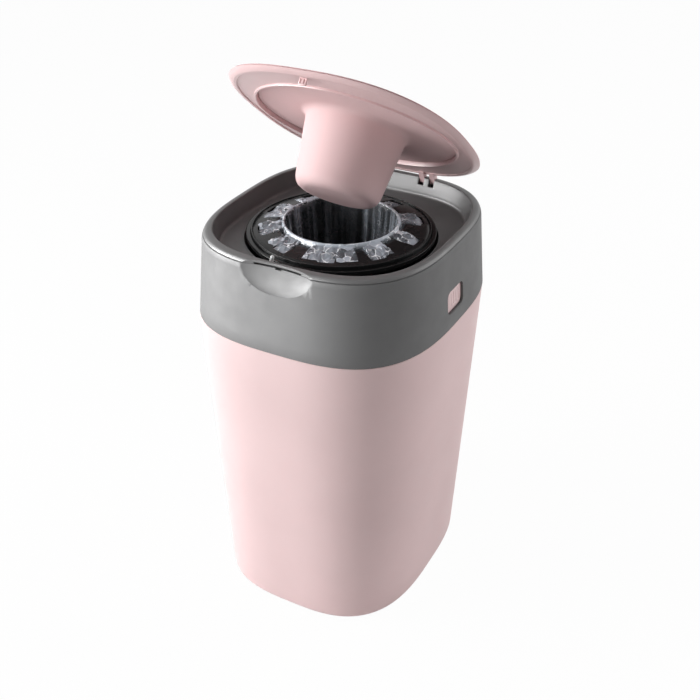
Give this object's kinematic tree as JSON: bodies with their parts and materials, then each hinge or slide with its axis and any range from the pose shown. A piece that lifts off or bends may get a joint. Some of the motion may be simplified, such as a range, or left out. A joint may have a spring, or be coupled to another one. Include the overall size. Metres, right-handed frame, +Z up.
{
  "type": "nappy bin",
  "caption": "Upright nappy bin with a tapering tub, a lift-off top holding a twist-film cassette, and a hinged lid with a dial and a plunger.",
  "frame": {"origin": "centre of the base, on the floor", "axes": "+Z up, -Y out of the front, where the finger scoop is; the lid's hinge runs along X at the rear"},
  "size_m": [0.2756, 0.3066, 0.6279],
  "materials": {
    "tub_pink": "satin",
    "tab_pink": "satin",
    "lid_pink": "satin",
    "shell_grey": "satin",
    "liner_grey": "satin",
    "carrier_black": "gloss",
    "cassette_black": "satin",
    "film": "gloss",
    "grip_grey": "matte",
    "peg_white": "satin",
    "click_white": "satin",
    "pin_steel": "satin"
  },
  "bodies": {
    "tub": {"tub": "tub_pink"},
    "release_tab_left": {"release_tab_left": "tab_pink"},
    "release_tab_right": {"release_tab_right": "tab_pink"},
    "top_unit": {"housing_shell": "shell_grey", "well_liner": "liner_grey", "grip_ring": "grip_grey", "click_peg": "peg_white", "hinge_pin_left": "pin_steel", "hinge_pin_right": "pin_steel"},
    "cassette": {"cassette_carrier": "carrier_black", "cassette_body": "cassette_black", "cassette_cap": "cassette_black", "film_pack": "film", "film_sleeve": "film"},
    "lid": {"lid_frame": "lid_pink", "lid_shell": "lid_pink", "click_spring": "pin_steel"},
    "dial": {"twist_dial": "lid_pink", "dial_ratchet": "click_white", "plunger": "lid_pink"}
  },
  "joints": [
    {"name": "left_tab_press", "type": "slide", "parent": "tub", "child": "release_tab_left", "axis": [1, 0, 0], "range_m": [0, 0.004], "stiffness_N_per_m": 600},
    {"name": "right_tab_press", "type": "slide", "parent": "tub", "child": "release_tab_right", "axis": [-1, 0, 0], "range_m": [0, 0.004], "stiffness_N_per_m": 600},
    {"name": "top_lift", "type": "slide", "parent": "tub", "child": "top_unit", "axis": [0, 0, 1], "range_m": [0, 0.17]},
    {"name": "cassette_turn", "type": "hinge", "parent": "top_unit", "child": "cassette", "pos_m": [0, -0.0077, 0.4], "axis": [0, 0, 1], "continuous": true},
    {"name": "lid_hinge", "type": "hinge", "parent": "top_unit", "child": "lid", "pos_m": [0, 0.1354, 0.4465], "axis": [-1, 0, 0], "range_deg": [-37.6, 57.4]},
    {"name": "dial_turn", "type": "hinge", "parent": "lid", "child": "dial", "pos_m": [0, 0.0269, 0.54015], "axis": [0, 0.6101, 0.7923], "continuous": true}
  ]
}
